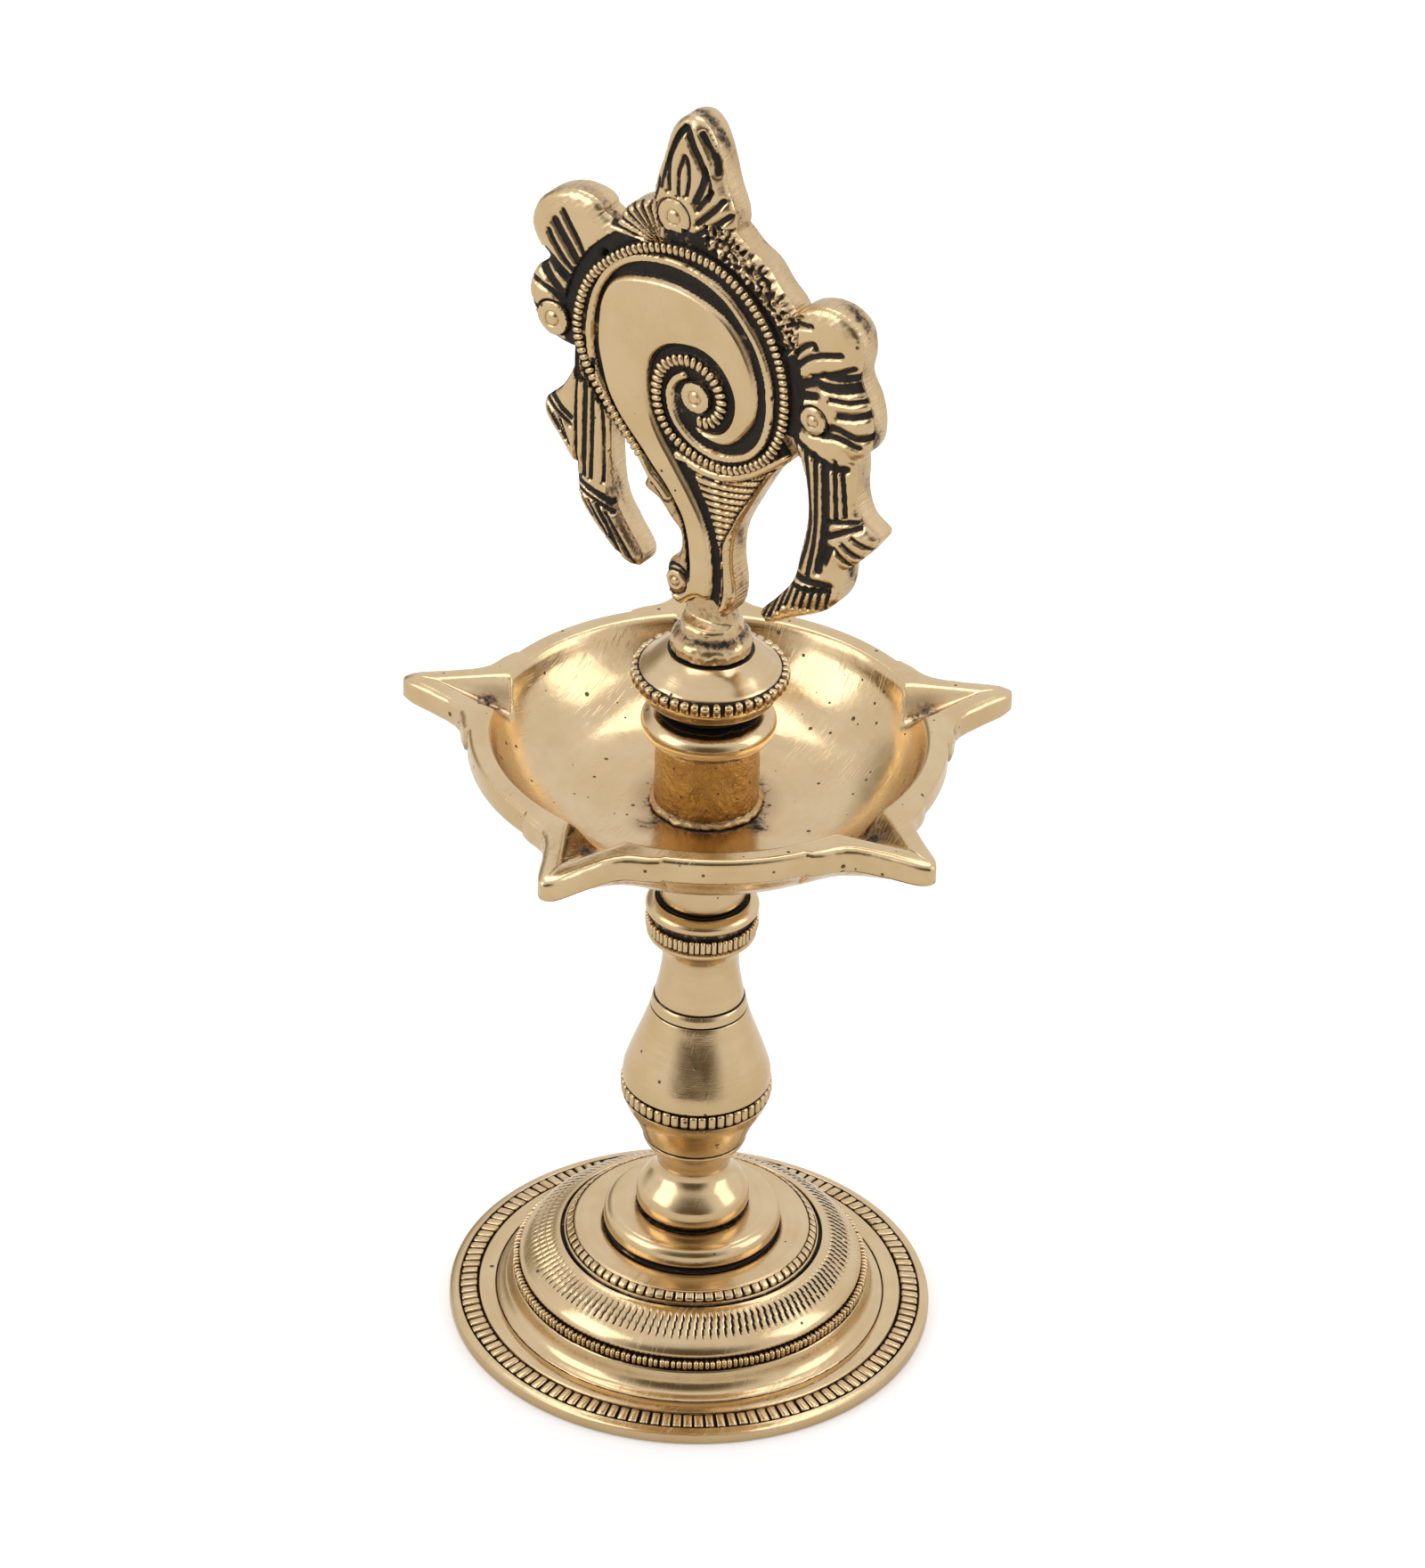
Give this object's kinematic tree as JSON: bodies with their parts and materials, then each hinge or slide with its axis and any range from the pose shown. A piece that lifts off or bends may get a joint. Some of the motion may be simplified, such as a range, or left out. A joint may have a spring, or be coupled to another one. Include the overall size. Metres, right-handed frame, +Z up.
{
  "type": "brass standing oil lamp",
  "caption": "Standing brass oil lamp: round stepped foot, vase stem, shallow dish with wick spouts and a flat carved conch finial.",
  "frame": {"origin": "centre of the foot's underside, on the plane the lamp stands on", "axes": "+Z up along the turned axis of the lamp; the conch faces -Y and its ribbons spread along X"},
  "size_m": [0.0887, 0.0837, 0.1988],
  "materials": {
    "polished_brass": "polished, with fine scratches",
    "antiqued_brass": "polished high spots and black recesses",
    "cast_brass": "rough cast, half polished",
    "rod_brass": "threaded, unpolished"
  },
  "bodies": {
    "base": {"foot": "antiqued_brass", "seat_disc": "polished_brass"},
    "stem_lift": {"stem_rod": "rod_brass", "knop": "polished_brass"},
    "stem": {"vase": "polished_brass"},
    "dish_lift": {"dish_rod": "rod_brass"},
    "dish": {"wick_dish": "polished_brass", "sleeve": "cast_brass"},
    "finial_lift": {"finial_ring": "polished_brass", "finial_rod": "rod_brass"},
    "finial": {"finial_disc": "antiqued_brass", "conch_plaque": "antiqued_brass"}
  },
  "joints": [
    {"name": "stem_rise", "type": "slide", "parent": "base", "child": "stem_lift", "axis": [0, 0, 1], "range_m": [0, 0.015]},
    {"name": "stem_unscrew", "type": "hinge", "parent": "stem_lift", "child": "stem", "pos_m": [0, 0, 0.018], "axis": [0, 0, 1], "range_deg": [0, 3600]},
    {"name": "dish_rise", "type": "slide", "parent": "stem", "child": "dish_lift", "axis": [0, 0, 1], "range_m": [0, 0.012]},
    {"name": "dish_unscrew", "type": "hinge", "parent": "dish_lift", "child": "dish", "pos_m": [0, 0, 0.072], "axis": [0, 0, 1], "range_deg": [0, 2880]},
    {"name": "finial_rise", "type": "slide", "parent": "dish", "child": "finial_lift", "axis": [0, 0, 1], "range_m": [0, 0.009]},
    {"name": "finial_unscrew", "type": "hinge", "parent": "finial_lift", "child": "finial", "pos_m": [0, 0, 0.1], "axis": [0, 0, 1], "range_deg": [0, 2160]}
  ],
  "couplings": [
    {"joint": "stem_unscrew", "follows": "stem_rise", "rad_per_m": 4188.8},
    {"joint": "dish_unscrew", "follows": "dish_rise", "rad_per_m": 4188.8},
    {"joint": "finial_unscrew", "follows": "finial_rise", "rad_per_m": 4188.8}
  ]
}
